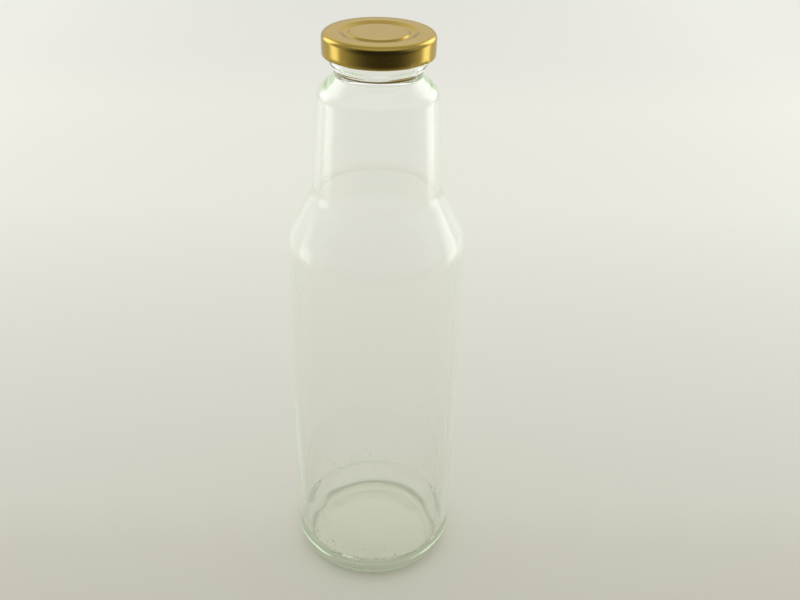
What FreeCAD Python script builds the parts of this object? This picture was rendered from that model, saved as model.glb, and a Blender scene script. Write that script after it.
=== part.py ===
import FreeCAD, Part
import math
import os

# A tall clear-glass syrup bottle with a pressed-metal lug cap, in millimetres.
# Origin: centre of the ring that the bottle stands on.  +Z runs up the axis.
# Every piece is a solid of revolution; the lugs repeat round the cap.

# ---- bottle: body, shoulder and neck ----
bottle_height = 261.2        # standing plane to the top of the glass lip
body_radius = 38.6           # the straight body wall
shoulder_rise = 21.7         # shoulder corner up to the foot of the neck
shoulder_blend = 22.0        # broad curve from body to shoulder
neck_length = 43.0           # foot of the tapered neck up to the collar corner
neck_taper = 3.0             # how much wider the neck is at its foot
neck_base_blend = 11.8
collar_step = 5.5            # collar beyond the finish wall
collar_fall = 6.5            # groove down to the collar corner
collar_blend = 6.5           # round turn from the neck to the collar slope

# ---- bottle: standing end ----
heel_run = 7.0               # body wall in to the standing ring
heel_lift = 4.8              # how far the underside climbs before the body wall
heel_blend = 13.4
bearing_width = 4.0
bearing_blend = 1.6
push_up = 3.2                # hollow under the base
push_up_run = 12.6           # standing ring in to the flat of the push-up
push_up_blend = 45.0

# ---- bottle: mouth, called the finish ----
finish_radius = 19.3         # wall that carries the cap
finish_wall = 3.7
lip_blend = 1.3
bore_blend = 7.0
groove_cut = 1.4             # waist under the mouth, in from the finish wall
groove_width = 1.6
groove_blend = 1.1
bead_relief = 0.4            # ring below the cap, out from the finish wall
bead_width = 1.0
bead_slope = 3.2             # tapered underside of the bead
bead_gap = 2.1               # cap's edge down to the bead

# ---- bottle: glass thickness ----
body_wall = 2.7
neck_wall = 2.8
base_wall = 4.2
floor_fall = 1.6             # floor drops from its middle to its rim
floor_blend = 4.0

# ---- cap ----
sheet = 0.25                 # coated sheet metal
cap_height = 9.0
cap_room = 3.5               # finish wall out to the cap's side
cap_corner = 2.2
skirt_draw = 0.2             # skirt is this much narrower at its edge
disc_drop = 0.25             # raised disc in the middle, below the rim
channel_depth = 0.9          # pressed ring round the disc
channel_width = 1.3
disc_slope = 0.8             # run of the step down from the disc
panel_slope = 2.2            # run of the step up to the flat rim
panel_gap = 0.3              # foot of the flat rim to the sealing ring
channel_blend = 0.8
hem_width = 1.35             # rolled edge
hem_height = 1.7
lug_count = 4
lug_angle = 22.0
lug_turn = 45.0              # from the X axis to the middle of the first lug
lug_height = 1.5
lug_clearance = 0.4          # lug to finish wall

# ---- sealing ring ----
seal_thickness = 0.5
seal_overhang = 0.7          # past the lip, outside and inside

# ---- derived levels, from the lip down ----
panel_underside = bottle_height + seal_thickness
cap_top = panel_underside + sheet
cap_bottom = cap_top - cap_height
bead_top = cap_bottom - bead_gap
bead_bottom = bead_top - bead_width
groove_top = bead_bottom - bead_slope
groove_bottom = groove_top - groove_width
collar_height = groove_bottom - collar_fall
neck_base_height = collar_height - neck_length
shoulder_height = neck_base_height - shoulder_rise
floor_centre = push_up + base_wall
floor_rim = floor_centre - floor_fall
wall_drop = neck_wall / 2.0  # sloped walls keep their thickness

# ---- derived radii ----
bearing_outer_radius = body_radius - heel_run
bearing_inner_radius = bearing_outer_radius - bearing_width
push_up_radius = bearing_inner_radius - push_up_run
bore_radius = finish_radius - finish_wall
groove_radius = finish_radius - groove_cut
bead_radius = finish_radius + bead_relief
collar_radius = finish_radius + collar_step
neck_base_radius = collar_radius + neck_taper
inner_radius = body_radius - body_wall
inner_neck_base = neck_base_radius - neck_wall
inner_collar = collar_radius - neck_wall
cap_radius = finish_radius + cap_room
skirt_radius = cap_radius - skirt_draw
lug_radius = finish_radius + lug_clearance
seal_inner_radius = bore_radius + lip_blend - seal_overhang
seal_outer_radius = finish_radius - lip_blend + seal_overhang
panel_radius = seal_inner_radius - panel_gap
channel_outer_radius = panel_radius - panel_slope
channel_inner_radius = channel_outer_radius - channel_width
disc_radius = channel_inner_radius - disc_slope


def tangent_points(before, corner, after, blend):
    """Where a blend of the given radius touches the two lines at a corner."""
    back = (before - corner).normalize()
    ahead = (after - corner).normalize()
    half_angle = back.getAngle(ahead) / 2.0
    reach = blend / math.tan(half_angle)
    centre_way = (back + ahead).normalize()
    middle = corner + centre_way * (blend / math.sin(half_angle) - blend)
    return corner + back * reach, middle, corner + ahead * reach


def outline(corners):
    """Closed wire in the XZ plane from (radius, height, blend) corners."""
    points = [FreeCAD.Vector(radius, 0.0, height) for radius, height, blend in corners]
    edges = []
    start = None
    first = None
    count = len(corners)
    for index in range(count):
        blend = corners[index][2]
        corner = points[index]
        if blend > 0.0:
            before = points[index - 1]
            after = points[(index + 1) % count]
            enter, middle, leave = tangent_points(before, corner, after, blend)
        else:
            enter = corner
            leave = corner
        if start is not None:
            edges.append(Part.LineSegment(start, enter).toShape())
        else:
            first = enter
        if blend > 0.0:
            edges.append(Part.Arc(enter, middle, leave).toShape())
        start = leave
    edges.append(Part.LineSegment(start, first).toShape())
    return Part.Wire(edges)


def revolved(corners, angle=360.0):
    """Solid swept round the Z axis from an outline."""
    face = Part.Face(outline(corners))
    return face.revolve(FreeCAD.Vector(0, 0, 0), FreeCAD.Vector(0, 0, 1), angle)


def bottle():
    """Hollow glass bottle: base, body, shoulder, neck, collar and finish."""
    outside = [
        (0.0, push_up, 0.0),
        (push_up_radius, push_up, push_up_blend),
        (bearing_inner_radius, 0.0, bearing_blend),
        (bearing_outer_radius, 0.0, bearing_blend),
        (body_radius, heel_lift, heel_blend),
        (body_radius, shoulder_height, shoulder_blend),
        (neck_base_radius, neck_base_height, neck_base_blend),
        (collar_radius, collar_height, collar_blend),
        (groove_radius, groove_bottom, groove_blend),
        (groove_radius, groove_top, groove_blend),
        (bead_radius, bead_bottom, bead_width / 3.0),
        (bead_radius, bead_top, bead_width / 3.0),
        (finish_radius, bead_top + bead_width / 2.0, 0.0),
        (finish_radius, bottle_height, lip_blend),
    ]
    inside = [
        (bore_radius, bottle_height, lip_blend),
        (bore_radius, groove_bottom + neck_wall, bore_blend),
        (inner_collar, collar_height - wall_drop, collar_blend - wall_drop),
        (inner_neck_base, neck_base_height - wall_drop, neck_base_blend + neck_wall),
        (inner_radius, shoulder_height - wall_drop, shoulder_blend - body_wall),
        (inner_radius, floor_rim, floor_blend),
        (push_up_radius, floor_centre, push_up_blend),
        (0.0, floor_centre, 0.0),
    ]
    return revolved(outside + inside)


def cap_block(inset):
    """The cap's solid form, drawn in from its outer faces by the inset."""
    disc_top = cap_top - disc_drop - inset
    channel_bottom = cap_top - channel_depth - inset
    return revolved([
        (0.0, cap_bottom, 0.0),
        (0.0, disc_top, 0.0),
        (disc_radius, disc_top, channel_blend / 2.0),
        (channel_inner_radius, channel_bottom, channel_blend / 2.0),
        (channel_outer_radius, channel_bottom, channel_blend),
        (panel_radius, cap_top - inset, channel_blend),
        (cap_radius - inset, cap_top - inset, cap_corner - inset),
        (skirt_radius - inset, cap_bottom, 0.0),
    ])


def hem_ring():
    """Rolled lower edge of the skirt."""
    inner = skirt_radius - hem_width
    top = cap_bottom + hem_height
    roll = hem_width / 2.0 - 0.05
    return revolved([
        (inner, cap_bottom, roll),
        (skirt_radius, cap_bottom, roll),
        (skirt_radius, top, 0.0),
        (inner, top, roll),
    ])


def lug(index):
    """One lug, pressed inwards from the rolled edge."""
    outer = skirt_radius - hem_width / 2.0
    top = cap_bottom + lug_height
    corner = lug_height / 4.0
    piece = revolved([
        (lug_radius, cap_bottom + corner, corner),
        (outer, cap_bottom + corner, 0.0),
        (outer, top, 0.0),
        (lug_radius, top, corner),
    ], lug_angle)
    turn = lug_turn + index * 360.0 / lug_count - lug_angle / 2.0
    piece.rotate(FreeCAD.Vector(0, 0, 0), FreeCAD.Vector(0, 0, 1), turn)
    return piece


def lid():
    """Pressed cap: one sheet with a rolled hem and its lugs."""
    shell = cap_block(0.0).cut(cap_block(sheet))
    shell = shell.cut(hem_ring())
    pieces = [hem_ring()]
    for index in range(lug_count):
        pieces.append(lug(index))
    return shell.fuse(pieces).removeSplitter()


def seal():
    """Sealing ring of soft compound between the lip and the cap's top."""
    return revolved([
        (seal_inner_radius, bottle_height, 0.0),
        (seal_outer_radius, bottle_height, 0.0),
        (seal_outer_radius, panel_underside, 0.0),
        (seal_inner_radius, panel_underside, 0.0),
    ])


os.makedirs("parts", exist_ok=True)
for node, shape in (("bottle", bottle()), ("lid", lid()), ("seal", seal())):
    shape.exportStep("parts/" + node + ".step")
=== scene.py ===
"""An empty clear-glass syrup bottle with a gold lug cap, on a pale studio sweep."""

import logging
import math
from dataclasses import dataclass, field
from enum import Enum
from typing import Sequence

import bmesh
import bpy
from mathutils import Matrix, Vector, noise


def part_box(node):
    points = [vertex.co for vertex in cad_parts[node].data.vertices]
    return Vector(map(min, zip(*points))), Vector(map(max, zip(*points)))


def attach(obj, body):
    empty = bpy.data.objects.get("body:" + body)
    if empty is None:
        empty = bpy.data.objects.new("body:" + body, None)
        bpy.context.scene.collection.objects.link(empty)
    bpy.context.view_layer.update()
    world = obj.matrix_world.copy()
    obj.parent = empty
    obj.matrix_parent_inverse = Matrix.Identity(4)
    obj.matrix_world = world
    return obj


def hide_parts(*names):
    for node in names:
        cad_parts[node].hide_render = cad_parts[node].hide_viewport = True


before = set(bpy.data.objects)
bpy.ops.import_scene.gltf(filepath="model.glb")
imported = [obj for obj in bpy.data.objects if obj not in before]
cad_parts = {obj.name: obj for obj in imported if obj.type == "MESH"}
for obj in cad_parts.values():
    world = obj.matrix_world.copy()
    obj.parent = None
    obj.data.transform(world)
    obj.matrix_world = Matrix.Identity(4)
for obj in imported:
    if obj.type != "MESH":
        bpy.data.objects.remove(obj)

LOG = logging.getLogger("syrup_bottle")
MM = 0.001
FULL_TURN = 2.0 * math.pi
MERGE_DISTANCE = 1e-6  # metres
AXIS_MARGIN = 0.001  # millimetres
STRAIGHT = 1e-3  # corners flatter than this, in radians, aren't rounded
ARC_STEPS = ((1.0, 4), (4.0, 7), (math.inf, 12))  # up to this radius in millimetres, so many runs

Colour = tuple[float, float, float]
Corner = tuple[float, float, float]


class Rays(Enum):
    """Kinds of ray that a finish treats apart."""

    SHADOW = "Is Shadow Ray"
    DIFFUSE = "Is Diffuse Ray"
    GLOSSY = "Is Glossy Ray"


class Side(Enum):
    """The side of the bottle that a lamp stands on, seen from the front."""

    LEFT = -1.0
    RIGHT = 1.0


# --------------------------------------------------------------------------
# Shared helpers: profiles, meshes and node trees
# --------------------------------------------------------------------------


def arc_steps(blend: float) -> int:
    """Number of straight runs in a round of the given radius, in millimetres."""
    return next(steps for limit, steps in ARC_STEPS if blend < limit)


def blend_arc(before: Vector, corner: Vector, after: Vector, blend: float) -> list[Vector]:
    """Points of the round that replaces one corner of a profile.

    Args:
        before: The corner before this one.
        corner: The corner to round.
        after: The corner after this one.
        blend: Radius of the round, in millimetres.

    Returns:
        The points of the round, or the corner itself where there is no blend.
    """
    back = (before - corner).normalized()
    ahead = (after - corner).normalized()
    half = back.angle(ahead) / 2.0
    if blend <= 0.0 or half > math.pi / 2.0 - STRAIGHT:
        return [corner.copy()]
    centre = corner + (back + ahead).normalized() * (blend / math.sin(half))
    start = corner + back * (blend / math.tan(half)) - centre
    end = corner + ahead * (blend / math.tan(half)) - centre
    sweep = start.angle_signed(end)
    steps = arc_steps(blend)
    return [centre + Matrix.Rotation(-sweep * step / steps, 2) @ start for step in range(steps + 1)]


def rounded_profile(corners: Sequence[Corner], longest: float) -> list[Vector]:
    """Profile points from corners with blends, with no run longer than asked.

    Args:
        corners: Radius, height and blend radius of each corner, in millimetres.
        longest: Longest run between two points, in millimetres.

    Returns:
        The profile's points as radius and height, in millimetres.
    """
    places = [Vector((radius, height)) for radius, height, _ in corners]
    chain = [places[0]]
    for index in range(1, len(places) - 1):
        chain += blend_arc(places[index - 1], places[index], places[index + 1], corners[index][2])
    chain.append(places[-1])
    points: list[Vector] = []
    for start, end in zip(chain, chain[1:]):
        runs = max(1, math.ceil((end - start).length / longest))
        points += [start.lerp(end, run / runs) for run in range(runs)]
    return points + [chain[-1]]


def spin_profile(points: Sequence[Vector], steps: int) -> bmesh.types.BMesh:
    """Sweep a profile round the Z axis into a skin.

    Args:
        points: Radius and height of each point, in millimetres.
        steps: Number of steps in the full turn.

    Returns:
        A bmesh in metres, with its poles merged and its faces turned outwards.
    """
    mesh = bmesh.new()
    ring = [mesh.verts.new((point.x * MM, 0.0, point.y * MM)) for point in points]
    edges = [mesh.edges.new(pair) for pair in zip(ring, ring[1:])]
    bmesh.ops.spin(
        mesh,
        geom=ring + edges,
        cent=(0.0, 0.0, 0.0),
        axis=(0.0, 0.0, 1.0),
        angle=FULL_TURN,
        steps=steps,
        use_merge=True,
    )
    bmesh.ops.remove_doubles(mesh, verts=mesh.verts[:], dist=MERGE_DISTANCE)
    bmesh.ops.recalc_face_normals(mesh, faces=mesh.faces[:])
    return mesh


def finished_object(mesh: bmesh.types.BMesh, name: str) -> bpy.types.Object:
    """Turn a bmesh into a smooth-shaded object at the origin.

    Args:
        mesh: The bmesh, which is freed.
        name: Name of the object and of its mesh.

    Returns:
        The new object, linked to the scene.
    """
    data = bpy.data.meshes.new(name)
    mesh.to_mesh(data)
    mesh.free()
    data.polygons.foreach_set("use_smooth", [True] * len(data.polygons))
    piece = bpy.data.objects.new(name, data)
    bpy.context.scene.collection.objects.link(piece)
    return piece


def turn_of(place: Vector) -> float:
    """Angle of a point round the Z axis, in radians from +X."""
    return math.atan2(place.y, place.x)


def angle_between(first: float, second: float) -> float:
    """Signed difference of two angles, wrapped to half a turn each way."""
    return (first - second + math.pi) % FULL_TURN - math.pi


def soft_step(value: float) -> float:
    """Smooth rise from 0 to 1 as the value goes from 0 to 1."""
    held = min(1.0, max(0.0, value))
    return held * held * (3.0 - 2.0 * held)


class NodeSheet:
    """A material's, world's or light's node tree, with short ways to add to it."""

    def __init__(self, owner: bpy.types.Material | bpy.types.World | bpy.types.Light) -> None:
        """Start from an empty tree.

        Args:
            owner: The material, world or light that has the tree.
        """
        owner.use_nodes = True
        self.tree = owner.node_tree
        self.tree.nodes.clear()

    def add(self, kind: str, **settings: object) -> bpy.types.Node:
        """Add a node.

        Args:
            kind: The node's type name.
            **settings: Attributes of the node, or input sockets by name with
                spaces written as underscores.

        Returns:
            The new node.
        """
        node = self.tree.nodes.new(kind)
        for name, value in settings.items():
            if hasattr(node, name):
                setattr(node, name, value)
            else:
                node.inputs[name.replace("_", " ")].default_value = value
        return node

    def link(self, source: bpy.types.NodeSocket, target: bpy.types.NodeSocket) -> None:
        """Join an output socket to an input socket."""
        self.tree.links.new(source, target)

    def maths(self, operation: str, *values: object) -> bpy.types.NodeSocket:
        """Add a Math node.

        Args:
            operation: The node's operation, such as MULTIPLY.
            *values: Numbers or output sockets for its inputs.

        Returns:
            The node's result.
        """
        node = self.tree.nodes.new("ShaderNodeMath")
        node.operation = operation
        for socket, value in zip(node.inputs, values):
            if isinstance(value, bpy.types.NodeSocket):
                self.link(value, socket)
            else:
                socket.default_value = value
        return node.outputs[0]

    def object_place(self) -> bpy.types.NodeSocket:
        """Object coordinates, in metres."""
        return self.tree.nodes.new("ShaderNodeTexCoord").outputs["Object"]

    def parts_of(self, place: bpy.types.NodeSocket) -> dict[str, bpy.types.NodeSocket]:
        """Split a vector.

        Args:
            place: The vector.

        Returns:
            Its X, Y and Z by name.
        """
        node = self.tree.nodes.new("ShaderNodeSeparateXYZ")
        self.link(place, node.inputs[0])
        return {axis: node.outputs[axis] for axis in "XYZ"}

    def rays(self, *kinds: Rays) -> bpy.types.NodeSocket:
        """Tell some kinds of ray from the rest.

        Args:
            *kinds: The kinds of ray.

        Returns:
            One for those kinds, and zero for the rest.
        """
        path = self.tree.nodes.new("ShaderNodeLightPath")
        total = path.outputs[kinds[0].value]
        for kind in kinds[1:]:
            total = self.maths("MAXIMUM", total, path.outputs[kind.value])
        return total

    def seen_in_open_air(self) -> bpy.types.NodeSocket:
        """Tell the rays that a shiny surface mirrors in open air.

        Returns:
            One for mirrored rays that haven't been through glass, else zero.
        """
        path = self.tree.nodes.new("ShaderNodeLightPath")
        outside = self.maths("LESS_THAN", path.outputs["Transmission Depth"], 0.5)
        return self.maths("MULTIPLY", path.outputs[Rays.GLOSSY.value], outside)

    def speckle(self, scale: float, detail: float, place: bpy.types.NodeSocket) -> bpy.types.NodeSocket:
        """Add noise.

        Args:
            scale: How fine it is, per metre.
            detail: How many finer layers it has.
            place: The coordinates that it lies on.

        Returns:
            The noise, as a number.
        """
        node = self.add("ShaderNodeTexNoise", Scale=scale, Detail=detail)
        self.link(place, node.inputs["Vector"])
        return node.outputs["Fac"]

    def mixed(self, share: bpy.types.NodeSocket, first: bpy.types.NodeSocket,
              second: bpy.types.NodeSocket) -> bpy.types.NodeSocket:
        """Mix two shaders.

        Args:
            share: Share of the second, from 0 to 1.
            first: The first shader.
            second: The second shader.

        Returns:
            The mixed shader.
        """
        node = self.tree.nodes.new("ShaderNodeMixShader")
        for socket, source in zip(node.inputs, (share, first, second)):
            self.link(source, socket)
        return node.outputs[0]

    def ramp(self, value: bpy.types.NodeSocket,
             stops: Sequence[tuple[float, Colour]]) -> bpy.types.NodeSocket:
        """Colour ramp through the given stops.

        Args:
            value: The number that the ramp reads.
            stops: Position and colour of each stop.

        Returns:
            The ramp's colour.
        """
        node = self.tree.nodes.new("ShaderNodeValToRGB")
        elements = node.color_ramp.elements
        while len(elements) < len(stops):
            elements.new(1.0)
        for element, (position, colour) in zip(elements, stops):
            element.position = position
            element.color = (*colour, 1.0)
        self.link(value, node.inputs["Fac"])
        return node.outputs["Color"]

    def span(self, value: bpy.types.NodeSocket, low: float, high: float, to_low: float = 0.0,
             to_high: float = 1.0) -> bpy.types.NodeSocket:
        """Smoothly carry a number from one range to another.

        Args:
            value: The number to carry.
            low: Start of its range.
            high: End of its range.
            to_low: What the start becomes.
            to_high: What the end becomes.

        Returns:
            The carried number.
        """
        node = self.add("ShaderNodeMapRange", interpolation_type="SMOOTHSTEP")
        self.link(value, node.inputs["Value"])
        for name, number in (("From Min", low), ("From Max", high), ("To Min", to_low), ("To Max", to_high)):
            node.inputs[name].default_value = number
        return node.outputs["Result"]

    def bump(self, height: bpy.types.NodeSocket, depth: float, strength: float) -> bpy.types.NodeSocket:
        """Add relief.

        Args:
            height: The relief, as a number.
            depth: How deep a height of 1 is, in metres.
            strength: How strongly it is felt, from 0 to 1.

        Returns:
            The bent normal.
        """
        node = self.add("ShaderNodeBump", Strength=strength, Distance=depth)
        self.link(height, node.inputs["Height"])
        return node.outputs["Normal"]

    def output(self, kind: str, shader: bpy.types.NodeSocket) -> bpy.types.Node:
        """Add an output node.

        Args:
            kind: The output's type name.
            shader: What it shows on the surface.

        Returns:
            The output node.
        """
        node = self.tree.nodes.new(kind)
        self.link(shader, node.inputs["Surface"])
        return node


# --------------------------------------------------------------------------
# Finishes
# --------------------------------------------------------------------------


@dataclass(frozen=True)
class BottleGlass:
    """Clear soda-lime glass with a faint green cast, and moulded skin.

    Lengths are in metres.  The heel's sizes are where the glass shades the
    floor, and the deep ones are for rays that turn many times in the glass,
    which end in painted light: an even glow, with painted shade in the heel.
    """

    ior: float = 1.52
    roughness: float = 0.0
    absorbed: Colour = (0.81, 0.935, 0.71)
    density: float = 15.0
    shadow_tint: Colour = (0.965, 0.975, 0.955)
    heel_soft: Colour = (0.88, 0.90, 0.85)
    heel_tint: Colour = (0.52, 0.56, 0.48)
    heel_inner: float = 0.0280
    heel_outer: float = 0.0320
    heel_foot: float = 0.0009
    heel_top: float = 0.009
    heel_stop: float = 0.6
    # Painted light for given-up rays: a pale glow, and painted shade in the heel below these heights.
    painted_deep_glow: Colour = (0.76, 0.79, 0.72)
    painted_heel_shade: Colour = (0.42, 0.44, 0.36)
    painted_shade_levels: tuple[float, float] = (0.010, 0.024)
    deep_limits: tuple[float, float] = (0.005, 0.011)
    deep_counts: tuple[float, float] = (4.5, 10.5)
    dot_scale: float = 340.0
    dot_scatter: float = 0.8
    dot_edge: tuple[float, float] = (0.10, 0.24)
    dot_rise: float = 9.0
    dot_band: tuple[float, float] = (0.0125, 0.0235)
    dot_fade: float = 0.002
    run_scale: float = 70.0
    run_edge: tuple[float, float] = (0.48, 0.56)
    ripple_scale: float = 60.0
    ripple_detail: float = 1.5
    ripple_stretch: float = 0.35
    ripple_depth: float = 0.0001
    ripple_strength: float = 0.35

    def material(self) -> bpy.types.Material:
        """Build the glass, which tints the light that it lets through to the floor.

        Returns:
            The new material.
        """
        material = bpy.data.materials.new("bottle_glass")
        sheet = NodeSheet(material)
        place = sheet.object_place()
        stretch = sheet.add("ShaderNodeMapping")
        stretch.inputs["Scale"].default_value = (1.0, 1.0, self.ripple_stretch)
        sheet.link(place, stretch.inputs["Vector"])
        ripple = sheet.speckle(self.ripple_scale, self.ripple_detail, stretch.outputs["Vector"])
        height = sheet.maths("ADD", ripple, sheet.maths("MULTIPLY", self.dots(sheet, place), self.dot_rise))
        glass = sheet.add(
            "ShaderNodeBsdfPrincipled",
            Base_Color=(1.0, 1.0, 1.0, 1.0),
            Roughness=self.roughness,
            IOR=self.ior,
            Transmission_Weight=1.0,
        )
        sheet.link(sheet.bump(height, self.ripple_depth, self.ripple_strength), glass.inputs["Normal"])
        clear = sheet.add("ShaderNodeBsdfTransparent")
        sheet.link(self.shade(sheet, place), clear.inputs["Color"])
        # Given-up rays show painted light instead of the glass: a pale glow, and painted shade in the heel.
        seen = sheet.mixed(self.is_deep(sheet, place), glass.outputs[0], self.glow(sheet, place))
        skin = sheet.mixed(sheet.rays(Rays.SHADOW, Rays.DIFFUSE), seen, clear.outputs[0])
        inside = sheet.add("ShaderNodeVolumeAbsorption", Color=(*self.absorbed, 1.0), Density=self.density)
        out = sheet.output("ShaderNodeOutputMaterial", skin)
        sheet.link(inside.outputs[0], out.inputs["Volume"])
        return material

    def is_deep(self, sheet: NodeSheet, place: bpy.types.NodeSocket) -> bpy.types.NodeSocket:
        """One where a ray has turned so often in the glass that it is given up.

        Args:
            sheet: The glass's node tree.
            place: Object coordinates.

        Returns:
            One for such a ray, which then shows painted light, else zero; rays in the heel are given up
            sooner.
        """
        path = sheet.tree.nodes.new("ShaderNodeLightPath")
        limit = sheet.span(sheet.parts_of(place)["Z"], *self.deep_limits, *self.deep_counts)
        return sheet.maths("GREATER_THAN", path.outputs["Ray Depth"], limit)

    def glow(self, sheet: NodeSheet, place: bpy.types.NodeSocket) -> bpy.types.NodeSocket:
        """Painted light that a given-up ray ends in: an even glow, dimmed to painted shade in the heel.

        Args:
            sheet: The glass's node tree.
            place: Object coordinates.

        Returns:
            The painted light, as a shader.
        """
        lift = sheet.span(sheet.parts_of(place)["Z"], *self.painted_shade_levels)
        light = sheet.add("ShaderNodeEmission", Strength=1.0)
        sheet.link(sheet.ramp(lift, ((0.0, self.painted_heel_shade), (1.0, self.painted_deep_glow))), light.inputs["Color"])
        return light.outputs[0]

    def dots(self, sheet: NodeSheet, place: bpy.types.NodeSocket) -> bpy.types.NodeSocket:
        """Plain raised dots in broken runs round the heel.

        Args:
            sheet: The glass's node tree.
            place: Object coordinates.

        Returns:
            One on a dot and zero off it.
        """
        cells = sheet.add("ShaderNodeTexVoronoi", Scale=self.dot_scale, Randomness=self.dot_scatter)
        sheet.link(place, cells.inputs["Vector"])
        dot = sheet.span(cells.outputs["Distance"], *self.dot_edge, 1.0, 0.0)
        level = sheet.parts_of(place)["Z"]
        low, high = self.dot_band
        band = sheet.maths("MULTIPLY", sheet.span(level, low, low + self.dot_fade),
                           sheet.span(level, high - self.dot_fade, high, 1.0, 0.0))
        runs = sheet.span(sheet.speckle(self.run_scale, 0.0, place), *self.run_edge)
        return sheet.maths("MULTIPLY", dot, sheet.maths("MULTIPLY", band, runs))

    def shade(self, sheet: NodeSheet, place: bpy.types.NodeSocket) -> bpy.types.NodeSocket:
        """Tint of light that has crossed the glass, darkest in the thick heel.

        Args:
            sheet: The glass's node tree.
            place: Object coordinates.

        Returns:
            The tint that light takes at each crossing.
        """
        parts = sheet.parts_of(place)
        squares = [sheet.maths("POWER", parts[axis], 2.0) for axis in "XY"]
        radius = sheet.maths("SQRT", sheet.maths("ADD", *squares))
        ring = sheet.span(radius, self.heel_inner, self.heel_outer)
        low = sheet.span(parts["Z"], self.heel_foot, self.heel_top, 1.0, 0.0)
        stops = ((0.0, self.shadow_tint), (self.heel_stop, self.heel_soft), (1.0, self.heel_tint))
        return sheet.ramp(sheet.maths("MULTIPLY", ring, low), stops)


@dataclass(frozen=True)
class GoldLacquer:
    """Gold lacquer on tinplate: a warm metal under a thin clear coat."""

    metal: Colour = (0.425, 0.300, 0.058)
    worn: Colour = (0.455, 0.325, 0.070)
    edge: Colour = (0.83, 0.77, 0.66)
    roughness: float = 0.21
    coat: float = 0.22
    coat_roughness: float = 0.12
    coat_ior: float = 1.5
    roughness_range: tuple[float, float] = (-0.02, 0.03)
    grain_scale: float = 1400.0
    grain_detail: float = 2.0
    grain_edge: tuple[float, float] = (0.3, 0.7)
    cloud_scale: float = 55.0
    cloud_detail: float = 4.0
    cloud_stops: tuple[float, float] = (0.3, 0.75)
    orange_peel: float = 0.000004  # metres
    peel_strength: float = 0.25

    def material(self) -> bpy.types.Material:
        """Build the lacquered metal, with clouding, grain and fine dents.

        Returns:
            The new material.
        """
        material = bpy.data.materials.new("gold_lacquer")
        sheet = NodeSheet(material)
        place = sheet.object_place()
        cloud = sheet.speckle(self.cloud_scale, self.cloud_detail, place)
        grain = sheet.speckle(self.grain_scale, self.grain_detail, place)
        colour = sheet.ramp(cloud, tuple(zip(self.cloud_stops, (self.metal, self.worn))))
        smooth, rough = (self.roughness + change for change in self.roughness_range)
        dulled = sheet.span(grain, *self.grain_edge, smooth, rough)
        metal = sheet.add(
            "ShaderNodeBsdfPrincipled",
            Metallic=1.0,
            Specular_Tint=(*self.edge, 1.0),
            Coat_Weight=self.coat,
            Coat_Roughness=self.coat_roughness,
            Coat_IOR=self.coat_ior,
        )
        sheet.link(colour, metal.inputs["Base Color"])
        sheet.link(dulled, metal.inputs["Roughness"])
        sheet.link(sheet.bump(grain, self.orange_peel, self.peel_strength), metal.inputs["Normal"])
        sheet.output("ShaderNodeOutputMaterial", metal.outputs[0])
        return material


@dataclass(frozen=True)
class SealCompound:
    """Soft cream sealing compound."""

    colour: Colour = (0.80, 0.77, 0.68)
    shade: Colour = (0.70, 0.66, 0.56)
    roughness: float = 0.55
    cloud_scale: float = 400.0
    cloud_detail: float = 3.0
    cloud_stops: tuple[float, float] = (0.3, 0.7)
    relief: float = 0.0001  # metres
    relief_strength: float = 0.3

    def material(self) -> bpy.types.Material:
        """Build the compound, with a slightly uneven skin.

        Returns:
            The new material.
        """
        material = bpy.data.materials.new("seal_compound")
        sheet = NodeSheet(material)
        cloud = sheet.speckle(self.cloud_scale, self.cloud_detail, sheet.object_place())
        body = sheet.add("ShaderNodeBsdfPrincipled", Roughness=self.roughness)
        tone = sheet.ramp(cloud, tuple(zip(self.cloud_stops, (self.shade, self.colour))))
        sheet.link(tone, body.inputs["Base Color"])
        sheet.link(sheet.bump(cloud, self.relief, self.relief_strength), body.inputs["Normal"])
        sheet.output("ShaderNodeOutputMaterial", body.outputs[0])
        return material


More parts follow.
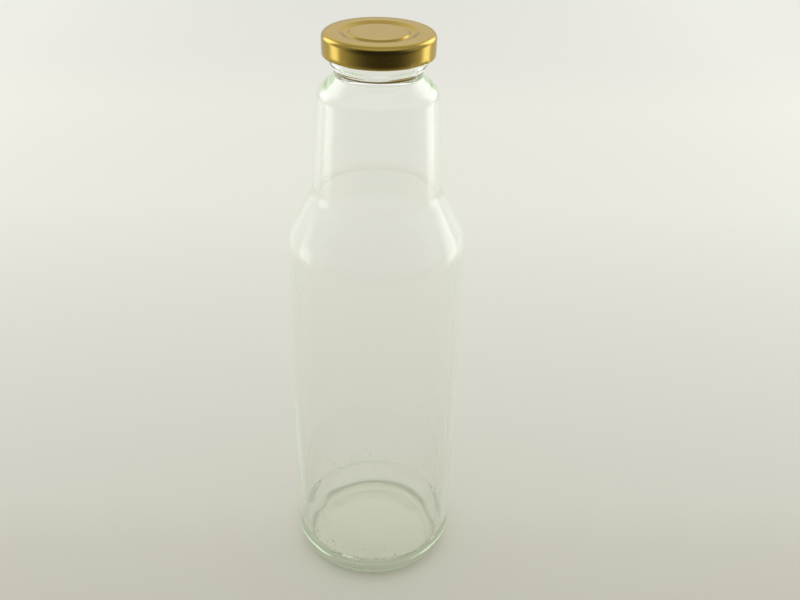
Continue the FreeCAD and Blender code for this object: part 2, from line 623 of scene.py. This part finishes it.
@dataclass(frozen=True)
class PaleSweep:
    """Matt pale surface with painted light: its tone is darkest at its front as
    painted shade, and grows lighter towards its sides as painted light.

    Each tone lies at its distance behind the bottle, in metres.  The room is
    the dark end that shiny surfaces mirror, from one distance to another.
    """

    pale_tones_with_painted_shade: tuple[tuple[float, Colour], ...] = (
        (-0.050, (0.653, 0.627, 0.559)),
        (-0.017, (0.681, 0.656, 0.583)),
        (0.019, (0.737, 0.718, 0.640)),
        (0.108, (0.779, 0.773, 0.698)),
        (0.226, (0.838, 0.838, 0.752)),
        (0.393, (0.925, 0.925, 0.841)),
        (0.646, (0.944, 0.944, 0.874)),
        (0.820, (0.915, 0.915, 0.860)),
        (1.060, (0.912, 0.912, 0.863)),
    )
    depth: float = 1.15
    painted_side_light: float = 0.42
    most_painted_side_light: float = 1.1
    room_tone: float = 0.028
    room_skew: float = -0.14
    room_from: float = -0.06
    room_to: float = -0.72

    def material(self) -> bpy.types.Material:
        """Build the matt surface, which ends in the dark room at its front.

        Returns:
            The new material.
        """
        material = bpy.data.materials.new("pale_sweep")
        sheet = NodeSheet(material)
        parts = sheet.parts_of(sheet.object_place())
        # Painted shade: the tones are darkest at the front, where less light falls.
        start = self.pale_tones_with_painted_shade[0][0]
        along = sheet.maths("DIVIDE", sheet.maths("SUBTRACT", parts["Y"], start), self.depth)
        tone = sheet.ramp(along, [((place - start) / self.depth, colour) for place, colour in self.pale_tones_with_painted_shade])
        # Painted light: the tone grows lighter towards the sides, up to a cap.
        across = sheet.maths("MULTIPLY", sheet.maths("POWER", parts["X"], 2.0), self.painted_side_light)
        tone_with_painted_light = sheet.add("ShaderNodeVectorMath", operation="SCALE")
        sheet.link(tone, tone_with_painted_light.inputs[0])
        share = sheet.maths("MINIMUM", sheet.maths("ADD", across, 1.0), self.most_painted_side_light)
        sheet.link(share, tone_with_painted_light.inputs["Scale"])
        matt = sheet.add("ShaderNodeBsdfDiffuse", Roughness=0.0)
        sheet.link(tone_with_painted_light.outputs[0], matt.inputs["Color"])
        room = sheet.add("ShaderNodeEmission", Color=(1.0, 1.0, 1.0, 1.0), Strength=self.room_tone)
        skewed = sheet.maths("ADD", parts["Y"], sheet.maths("MULTIPLY", parts["X"], self.room_skew))
        dark = sheet.maths("MULTIPLY", sheet.seen_in_open_air(),
                           sheet.span(skewed, self.room_to, self.room_from, 1.0, 0.0))
        sheet.output("ShaderNodeOutputMaterial", sheet.mixed(dark, matt.outputs[0], room.outputs[0]))
        return material


# --------------------------------------------------------------------------
# The bottle and its cap
# --------------------------------------------------------------------------


@dataclass(frozen=True)
class WallFlow:
    """Unevenness that blowing leaves on the inner wall, as two layers of noise."""

    depth: float = 0.2
    broad: Corner = (38.0, 38.0, 13.0)
    fine: Corner = (90.0, 90.0, 22.0)
    fine_share: float = 0.35

    def at(self, place: Vector) -> float:
        """How far the inner wall lies out from its true circle.

        Args:
            place: A point of the wall, in metres.

        Returns:
            The unevenness, in millimetres.
        """
        broad, fine = (
            noise.noise(Vector([part * scale for part, scale in zip(place, scales)]))
            for scales in (self.broad, self.fine)
        )
        return self.depth * (broad + self.fine_share * fine)


@dataclass(frozen=True)
class Dent:
    """One inward bend of the inner floor's edge, in degrees and millimetres."""

    middle: float
    spread: float
    depth: float


@dataclass(frozen=True)
class SettledEdge:
    """Uneven edge of the inner floor, where the thick heel glass settled."""

    inner: float = 12.0
    outer: float = 30.2
    fade: float = 14.0
    wave: float = 0.35
    wave_scale: float = 2.1
    wave_seed: float = 4.0
    fine_share: float = 0.5
    fine_scale: float = 2.4
    dents: tuple[Dent, ...] = (Dent(14.0, 19.0, 3.4), Dent(157.0, 17.0, 4.4), Dent(98.0, 50.0, 2.0))

    def at(self, turn: float, radius: float, lift: float) -> float:
        """How far a point of the inner floor or its edge moves outwards.

        Args:
            turn: Angle round the axis, in radians.
            radius: Distance from the axis, in millimetres.
            lift: Height above the middle of the floor, in millimetres.

        Returns:
            The move, in millimetres.
        """
        near = soft_step((radius - self.inner) / (self.outer - self.inner))
        below = 1.0 - soft_step(lift / self.fade)
        place = Vector((math.cos(turn) * self.wave_scale, math.sin(turn) * self.wave_scale, self.wave_seed))
        wave = self.wave * (noise.noise(place) + self.fine_share * noise.noise(place * self.fine_scale))
        inward = 0.0
        for dent in self.dents:
            off = abs(angle_between(turn, math.radians(dent.middle)))
            inward += dent.depth * (1.0 - soft_step(off / math.radians(dent.spread)))
        return near * below * (wave - inward)


@dataclass(frozen=True)
class StandingBars:
    """Small bars pressed into the standing ring, in millimetres."""

    inner: float
    outer: float
    count: int = 80
    depth: float = 0.16
    inset: float = 2.4
    outset: float = 2.6
    fade: float = 1.2

    def at(self, turn: float, radius: float) -> float:
        """Relief of the bars.

        Args:
            turn: Angle round the axis, in radians.
            radius: Distance from the axis, in millimetres.

        Returns:
            How far the surface is raised off the table, in millimetres.
        """
        across = soft_step((radius - self.inner - self.inset) / self.fade)
        across *= soft_step((self.outer + self.outset - radius) / self.fade)
        bar = 0.5 - 0.5 * math.cos(turn * self.count)
        return self.depth * across * bar * bar


@dataclass(frozen=True)
class LugRidges:
    """Sloping glass ridges that the cap's lugs turn under, in millimetres."""

    count: int = 4
    relief: float = 1.0
    start: float = 3.6
    fall: float = 2.6
    half_width: float = 0.9
    ease: float = 0.12
    end: float = 0.92
    reach: tuple[float, float] = (2.0, 8.6)

    def at(self, turn: float, drop: float) -> float:
        """How far a ridge stands out of the finish wall.

        Args:
            turn: Angle round the axis, in radians.
            drop: Depth below the lip, in millimetres.

        Returns:
            The ridge's relief, in millimetres.
        """
        pitch = FULL_TURN / self.count
        along = (turn % pitch) / pitch
        middle = self.start + self.fall * along
        across = 1.0 - soft_step(abs(drop - middle) / self.half_width)
        ends = soft_step(along / self.ease) * soft_step((self.end - along) / self.ease)
        return self.relief * across * ends


@dataclass
class GlassBottle:
    """Blown glass bottle, in millimetres from the ring that it stands on.

    The facings are how far a normal points outwards or up, from -1 to 1, where
    the skin counts as the inner wall, the inner floor or the underside.
    """

    height: float
    body_radius: float
    shoulder_height: float = 173.85
    shoulder_blend: float = 22.0
    neck_base: Corner = (27.8, 195.55, 11.8)
    collar: Corner = (24.8, 238.55, 6.5)
    finish_depth: float = 16.15
    groove_radius: float = 17.9
    groove_width: float = 1.6
    groove_blend: float = 1.1
    bead_radius: float = 19.7
    bead_width: float = 1.0
    bead_slope: float = 3.2
    finish_radius: float = 19.3
    lip_blend: float = 1.3
    bore_radius: float = 15.6
    bore_blend: float = 7.0
    bearing_inner: float = 27.6
    bearing_outer: float = 31.6
    bearing_blend: float = 1.6
    heel_lift: float = 4.8
    heel_blend: float = 13.4
    push_up: Corner = (15.0, 3.2, 45.0)
    body_wall: float = 2.7
    neck_wall: float = 2.8
    base_wall: float = 4.2
    floor_fall: float = 2.2
    settled_height: float = 13.0
    settled_blend: float = 16.0
    settled_radius: float = 32.2
    crease_blend: float = 0.8
    inner_neck_blend: float = 14.6
    turn_steps: int = 240
    longest_run: float = 2.4
    settled_reach: float = 3.0
    wall_margin: float = 0.3
    finish_margin: float = 0.05
    wall_facing: float = -0.1
    floor_facing: float = 0.12
    underside_facing: float = -0.2
    wall_flow: WallFlow = field(default_factory=WallFlow)
    settled_edge: SettledEdge = field(default_factory=SettledEdge)
    ridges: LugRidges = field(default_factory=LugRidges)
    finish: BottleGlass = field(default_factory=BottleGlass)

    def floor_height(self) -> float:
        """Height of the middle of the inner floor."""
        return self.push_up[1] + self.base_wall

    def outside(self) -> list[Corner]:
        """List the corners of the outer skin.

        Returns:
            The corners, from the push-up to the lip.
        """
        groove = self.height - self.finish_depth
        bead = groove + self.groove_width + self.bead_slope
        return [
            (0.0, self.push_up[1], 0.0),
            self.push_up,
            (self.bearing_inner, 0.0, self.bearing_blend),
            (self.bearing_outer, 0.0, self.bearing_blend),
            (self.body_radius, self.heel_lift, self.heel_blend),
            (self.body_radius, self.shoulder_height, self.shoulder_blend),
            self.neck_base,
            self.collar,
            (self.groove_radius, groove, self.groove_blend),
            (self.groove_radius, groove + self.groove_width, self.groove_blend),
            (self.bead_radius, bead, self.bead_width / 3.0),
            (self.bead_radius, bead + self.bead_width, self.bead_width / 3.0),
            (self.finish_radius, bead + 1.5 * self.bead_width, 0.0),
            (self.finish_radius, self.height, self.lip_blend),
        ]

    def inside(self) -> list[Corner]:
        """List the corners of the inner skin.

        Returns:
            The corners, from the lip to the middle of the floor.
        """
        drop = self.neck_wall / 2.0
        floor = self.floor_height()
        radius = self.body_radius - self.body_wall
        return [
            (self.bore_radius, self.height, self.lip_blend),
            (self.bore_radius, self.height - self.finish_depth + self.neck_wall, self.bore_blend),
            (self.collar[0] - self.neck_wall, self.collar[1] - drop, self.collar[2] - drop),
            (self.neck_base[0] - self.neck_wall, self.neck_base[1] - drop, self.inner_neck_blend),
            (radius, self.shoulder_height - drop, self.shoulder_blend - self.body_wall),
            (radius, self.settled_height, self.settled_blend),
            (self.settled_radius, floor - self.floor_fall, self.crease_blend),
            (self.push_up[0], floor, self.push_up[2]),
            (0.0, floor, 0.0),
        ]

    def shape(self, mesh: bmesh.types.BMesh) -> None:
        """Give the spun skin the marks of glass making.

        Args:
            mesh: The spun skin, in metres.
        """
        bars = StandingBars(self.bearing_inner, self.bearing_outer)
        shallow, deep = self.ridges.reach
        for vertex in mesh.verts:
            place = vertex.co
            radius = math.hypot(place.x, place.y) / MM
            if radius < AXIS_MARGIN:
                continue
            turn = turn_of(place)
            height = place.z / MM
            drop = self.height - height
            outward = Vector((place.x, place.y, 0.0)).normalized()
            facing = vertex.normal.dot(outward)
            if facing < self.wall_facing and radius > self.bore_radius + self.wall_margin:
                vertex.co += outward * (self.wall_flow.at(place) * MM)
            if vertex.normal.z > self.floor_facing and height < self.settled_height + self.settled_reach:
                move = self.settled_edge.at(turn, radius, height - self.floor_height())
                vertex.co += outward * (move * MM)
            elif height < self.heel_lift and vertex.normal.z < self.underside_facing:
                vertex.co.z += bars.at(turn, radius) * MM
            if abs(radius - self.finish_radius) < self.finish_margin and shallow < drop < deep:
                vertex.co += outward * (self.ridges.at(turn, drop) * MM)

    def build(self) -> bpy.types.Object:
        """Spin the closed wall and shape it.

        Returns:
            The finished piece.
        """
        points = rounded_profile(self.outside() + self.inside(), self.longest_run)
        mesh = spin_profile(points, steps=self.turn_steps)
        mesh.normal_update()
        self.shape(mesh)
        return finished_object(mesh, "bottle_glass_body")

    def dress(self, piece: bpy.types.Object) -> None:
        """Give the piece its glass, and stand it in for the bottle's solid.

        Args:
            piece: The finished bottle.
        """
        piece.data.materials.append(self.finish.material())
        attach(piece, "root")
        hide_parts("bottle")


@dataclass
class LugCap:
    """Pressed gold cap, in millimetres from the bottle's standing plane."""

    top: float
    bottom: float
    radius: float
    sheet: float = 0.25
    corner: float = 2.2
    skirt_draw: float = 0.2
    disc_radius: float = 11.6
    disc_drop: float = 0.25
    channel_depth: float = 0.9
    channel_width: float = 1.3
    disc_slope: float = 0.8
    panel_slope: float = 2.2
    channel_blend: float = 0.8
    draw_height: float = 9.0
    hem_width: float = 1.35
    hem_height: float = 1.7
    hem_flat: float = 0.05
    hem_margin: float = 0.1
    lug_count: int = 4
    lug_turn: float = math.radians(45.0)
    lug_half: float = math.radians(11.0)
    lug_ease: tuple[float, float] = (0.05, 0.09)
    lug_reach: float = 1.5
    lug_dent: float = 0.28
    turn_steps: int = 240
    longest_run: float = 1.2
    finish: GoldLacquer = field(default_factory=GoldLacquer)

    @classmethod
    def draw_at_corner(cls) -> float:
        """How far the drawn-in skirt has come in where its round corner ends."""
        return cls.skirt_draw * cls.corner / cls.draw_height

    def skin(self, inset: float) -> list[Corner]:
        """Corners of the sheet's face, from the middle of the disc outwards.

        Args:
            inset: How far the face lies inside the cap's outer face.

        Returns:
            The face's corners, down to the middle of the skirt.
        """
        disc_top = self.top - self.disc_drop - inset
        low = self.top - self.channel_depth - inset
        inner = self.disc_radius + self.disc_slope
        outer = inner + self.channel_width
        shoulder = self.radius - inset
        return [
            (0.0, disc_top, 0.0),
            (self.disc_radius, disc_top, self.channel_blend / 2.0),
            (inner, low, self.channel_blend / 2.0),
            (outer, low, self.channel_blend),
            (outer + self.panel_slope, self.top - inset, self.channel_blend),
            (shoulder, self.top - inset, self.corner - inset),
            (shoulder - self.skirt_draw / 2.0, (self.top + self.bottom) / 2.0, 0.0),
        ]

    def hem(self) -> list[Corner]:
        """List the corners of the rolled edge.

        Returns:
            The corners, from its outer foot round to its top.
        """
        outer = self.radius - self.skirt_draw
        inner = outer - self.hem_width
        roll = self.hem_width / 2.0 - self.hem_flat
        top = self.bottom + self.hem_height
        return [
            (outer, self.bottom, roll),
            (inner, self.bottom, roll),
            (inner, top, roll),
            (outer - self.sheet, top, 0.0),
        ]

    def press_lugs(self, mesh: bmesh.types.BMesh) -> None:
        """Push the rolled edge inwards at each lug.

        Args:
            mesh: The spun cap, in metres.
        """
        outer = self.radius - self.skirt_draw
        pitch = FULL_TURN / self.lug_count
        early, ease = self.lug_ease
        for vertex in mesh.verts:
            place = vertex.co
            radius = math.hypot(place.x, place.y)
            height = place.z / MM - self.bottom
            if height > self.hem_height or radius < (outer - self.hem_width - self.hem_margin) * MM:
                continue
            turn = turn_of(place)
            nearest = round((turn - self.lug_turn) / pitch)
            off = abs(angle_between(turn, self.lug_turn + nearest * pitch))
            press = soft_step((self.lug_half + early - off) / ease)
            depth = soft_step((outer * MM - radius) / (self.hem_width * MM))
            dent = self.lug_dent * soft_step(1.0 - height / self.hem_height)
            inward = press * (self.lug_reach * depth + dent * (1.0 - depth)) * MM
            scale = (radius - inward) / radius
            vertex.co.x *= scale
            vertex.co.y *= scale

    def build(self) -> bpy.types.Object:
        """Spin the sheet with its hem, and press the lugs.

        Returns:
            The finished cap.
        """
        corners = self.skin(0.0) + self.hem() + list(reversed(self.skin(self.sheet)))
        points = rounded_profile(corners, self.longest_run)
        mesh = spin_profile(points, steps=self.turn_steps)
        self.press_lugs(mesh)
        return finished_object(mesh, "cap_pressed_shell")

    def dress(self, piece: bpy.types.Object) -> None:
        """Give the cap its lacquer, and stand it in for the lid's solid.

        Args:
            piece: The finished cap.
        """
        piece.data.materials.append(self.finish.material())
        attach(piece, "root")
        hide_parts("lid")


@dataclass
class SealRing:
    """Sealing ring under the cap, which keeps its solid's shape."""

    finish: SealCompound = field(default_factory=SealCompound)

    def dress(self) -> bpy.types.Object:
        """Give the ring its compound.

        Returns:
            The ring's own node.
        """
        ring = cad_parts["seal"]
        ring.data.materials.clear()
        ring.data.materials.append(self.finish.material())
        return ring


# --------------------------------------------------------------------------
# The studio
# --------------------------------------------------------------------------


@dataclass(frozen=True)
class LampPanel:
    """One upright soft panel beside the bottle, in metres.

    Its front and back are distances behind the bottle's axis, and its
    radiance is the brightness of its middle, where white is 1.
    """

    name: str
    side: Side
    front: float
    back: float
    bottom: float
    top: float
    radiance: float


@dataclass
class Studio:
    """Pale sweep, two panels on each side, a soft surround and the camera.

    Lengths are in metres, and a brightness of 1 is white.  The ways are parts
    of a direction of length 1, with Y to the back and Z up.
    """

    sweep_half_width: float = 2.2
    sweep_front: float = -1.2
    sweep_back: float = 2.4
    sweep_rise: float = 0.8
    sweep_bend: float = 0.7
    sweep_run: float = 0.4
    camera_place: tuple[float, float, float] = (0.0, -0.37228, 0.36439)
    camera_pitch: float = math.radians(31.08)
    camera_yaw: float = math.radians(1.68)
    camera_roll: float = math.radians(-1.53)
    focal_length: float = 43.0  # millimetres, as the sensor
    sensor_width: float = 36.0
    nearest_seen: float = 0.01
    surround: Colour = (1.0, 1.0, 0.985)
    surround_strength: float = 1.12
    ceiling_strength: float = 0.80
    tent_ways: tuple[float, float] = (0.15, 0.80)
    overhead_dip: float = 0.22
    dip_way: float = 0.25
    dip_spread: tuple[float, float] = (0.20, 0.60)
    opening_tone: float = 0.03
    opening_sides: tuple[float, float] = (-0.10, 0.90)
    opening_tops: tuple[float, float] = (0.50, 0.70)
    panel_fades: tuple[float, float] = (0.34, 0.28)
    bounces: int = 48
    clear_bounces: int = 24
    lamp_distance: float = 0.45
    panels: tuple[LampPanel, ...] = (
        LampPanel("lamp_left_low", Side.LEFT, -0.08, 0.19, 0.02, 0.25, 1.7),
        LampPanel("lamp_left_high", Side.LEFT, 0.04, 0.56, 0.18, 0.78, 2.3),
        LampPanel("lamp_right_low", Side.RIGHT, 0.00, 0.29, 0.00, 0.27, 1.7),
        LampPanel("lamp_right_high", Side.RIGHT, 0.06, 0.80, 0.20, 0.82, 2.3),
    )
    finish: PaleSweep = field(default_factory=PaleSweep)

    def lay_sweep(self) -> None:
        """Make the floor that curves up into the backdrop."""
        mesh = bmesh.new()
        depth = self.sweep_back - self.sweep_front
        corners = [(0.0, 0.0, 0.0), (depth, 0.0, self.sweep_bend), (depth, self.sweep_rise, 0.0)]
        points = rounded_profile(corners, self.sweep_run)
        line = [
            mesh.verts.new((-self.sweep_half_width, self.sweep_front + point.x, point.y)) for point in points
        ]
        edges = [mesh.edges.new(pair) for pair in zip(line, line[1:])]
        grown = bmesh.ops.extrude_edge_only(mesh, edges=edges)
        fresh = [item for item in grown["geom"] if isinstance(item, bmesh.types.BMVert)]
        bmesh.ops.translate(mesh, verts=fresh, vec=(2.0 * self.sweep_half_width, 0.0, 0.0))
        bmesh.ops.recalc_face_normals(mesh, faces=mesh.faces[:])
        piece = finished_object(mesh, "studio_sweep")
        piece.data.materials.append(self.finish.material())

    def hang_lamp(self, panel: LampPanel) -> None:
        """Add one soft panel, which faces straight across to the other side.

        Args:
            panel: The panel's place, size and brightness.
        """
        width = panel.back - panel.front
        height = panel.top - panel.bottom
        data = bpy.data.lights.new(panel.name, "AREA")
        data.shape = "RECTANGLE"
        data.size, data.size_y = width, height
        data.energy = panel.radiance * math.pi * width * height
        self.soften_edges(data)
        lamp = bpy.data.objects.new(panel.name, data)
        lamp.visible_camera = False
        lamp.visible_diffuse = False
        lamp.visible_transmission = False
        spot = Vector((panel.side.value * self.lamp_distance, panel.front + width / 2.0,
                       panel.bottom + height / 2.0))
        aim = Vector((-panel.side.value, 0.0, 0.0))
        lamp.matrix_world = Matrix.Translation(spot) @ aim.to_track_quat("-Z", "Y").to_matrix().to_4x4()
        bpy.context.scene.collection.objects.link(lamp)

    def soften_edges(self, data: bpy.types.AreaLight) -> None:
        """Let a panel's light fade towards its edges.

        Args:
            data: The panel's light.
        """
        sheet = NodeSheet(data)
        parts = sheet.parts_of(sheet.add("ShaderNodeNewGeometry").outputs["Parametric"])
        fades = []
        for axis, soft in zip("XY", self.panel_fades):
            off = sheet.maths("ABSOLUTE", sheet.maths("SUBTRACT", parts[axis], 0.5))
            fades.append(sheet.span(off, 0.5 - soft, 0.5, 1.0, 0.0))
        glow = sheet.add("ShaderNodeEmission", Color=(1.0, 1.0, 1.0, 1.0))
        sheet.link(sheet.maths("MULTIPLY", *fades), glow.inputs["Strength"])
        sheet.output("ShaderNodeOutputLight", glow.outputs[0])

    def surround_with_light(self) -> None:
        """Light the scene from a pale tent with a dark opening at its front."""
        world = bpy.data.worlds.new("studio_tent")
        bpy.context.scene.world = world
        sheet = NodeSheet(world)
        way = sheet.parts_of(sheet.add("ShaderNodeTexCoord").outputs["Generated"])
        front = sheet.span(sheet.maths("MULTIPLY", way["Y"], -1.0), *self.opening_sides)
        low = sheet.span(way["Z"], *self.opening_tops, 1.0, 0.0)
        opening = sheet.maths("MULTIPLY", front, low)
        tent = sheet.span(way["Y"], *self.tent_ways, self.ceiling_strength, self.surround_strength)
        off = sheet.maths("ABSOLUTE", sheet.maths("SUBTRACT", way["Y"], self.dip_way))
        dip = sheet.span(off, *self.dip_spread, self.overhead_dip, 0.0)
        through = sheet.maths("MULTIPLY", opening, sheet.maths("SUBTRACT", tent, self.opening_tone))
        lost = sheet.maths("ADD", through, dip)
        level = sheet.maths("SUBTRACT", tent, sheet.maths("MULTIPLY", lost, sheet.seen_in_open_air()))
        back = sheet.add("ShaderNodeBackground", Color=(*self.surround, 1.0))
        sheet.link(level, back.inputs["Strength"])
        sheet.output("ShaderNodeOutputWorld", back.outputs[0])

    def place_camera(self) -> None:
        """Add the camera, which looks down on the bottle."""
        pitch, yaw, roll = self.camera_pitch, self.camera_yaw, self.camera_roll
        ahead = Vector((math.sin(yaw) * math.cos(pitch), math.cos(yaw) * math.cos(pitch), -math.sin(pitch)))
        level = Vector((math.cos(yaw), -math.sin(yaw), 0.0))
        above = level.cross(ahead)
        right = level * math.cos(roll) - above * math.sin(roll)
        up = level * math.sin(roll) + above * math.cos(roll)
        data = bpy.data.cameras.new("camera")
        data.lens = self.focal_length
        data.sensor_width = self.sensor_width
        data.clip_start = self.nearest_seen
        camera = bpy.data.objects.new("camera", data)
        turn = Matrix((right, up, -ahead)).transposed().to_4x4()
        camera.matrix_world = Matrix.Translation(Vector(self.camera_place)) @ turn
        bpy.context.scene.collection.objects.link(camera)
        bpy.context.scene.camera = camera

    def build(self) -> None:
        """Set up the sweep, the lamps, the surround and the camera."""
        self.lay_sweep()
        for panel in self.panels:
            self.hang_lamp(panel)
        self.surround_with_light()
        self.place_camera()
        scene = bpy.context.scene
        scene.view_settings.view_transform = "Standard"
        scene.cycles.max_bounces = self.bounces
        scene.cycles.transmission_bounces = self.bounces
        scene.cycles.glossy_bounces = self.bounces
        scene.cycles.transparent_max_bounces = self.clear_bounces


def main() -> None:
    """Build the bottle, its cap and the studio, and report each piece."""
    logging.basicConfig(level=logging.INFO, format="%(message)s")
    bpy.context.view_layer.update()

    glass_low, glass_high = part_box("bottle")
    cap_low, cap_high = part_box("lid")
    bottle = GlassBottle(height=glass_high[2] / MM, body_radius=(glass_high[0] - glass_low[0]) / 2.0 / MM)
    body = bottle.build()
    bottle.dress(body)
    LOG.info("%s: %d faces", body.name, len(body.data.polygons))

    half_width = (cap_high[0] - cap_low[0]) / 2.0 / MM
    cap = LugCap(top=cap_high[2] / MM, bottom=cap_low[2] / MM, radius=half_width + LugCap.draw_at_corner())
    shell = cap.build()
    cap.dress(shell)
    LOG.info("%s: %d faces", shell.name, len(shell.data.polygons))

    ring = SealRing().dress()
    LOG.info("%s: %d faces", ring.name, len(ring.data.polygons))

    Studio().build()


if __name__ == "__main__":
    main()
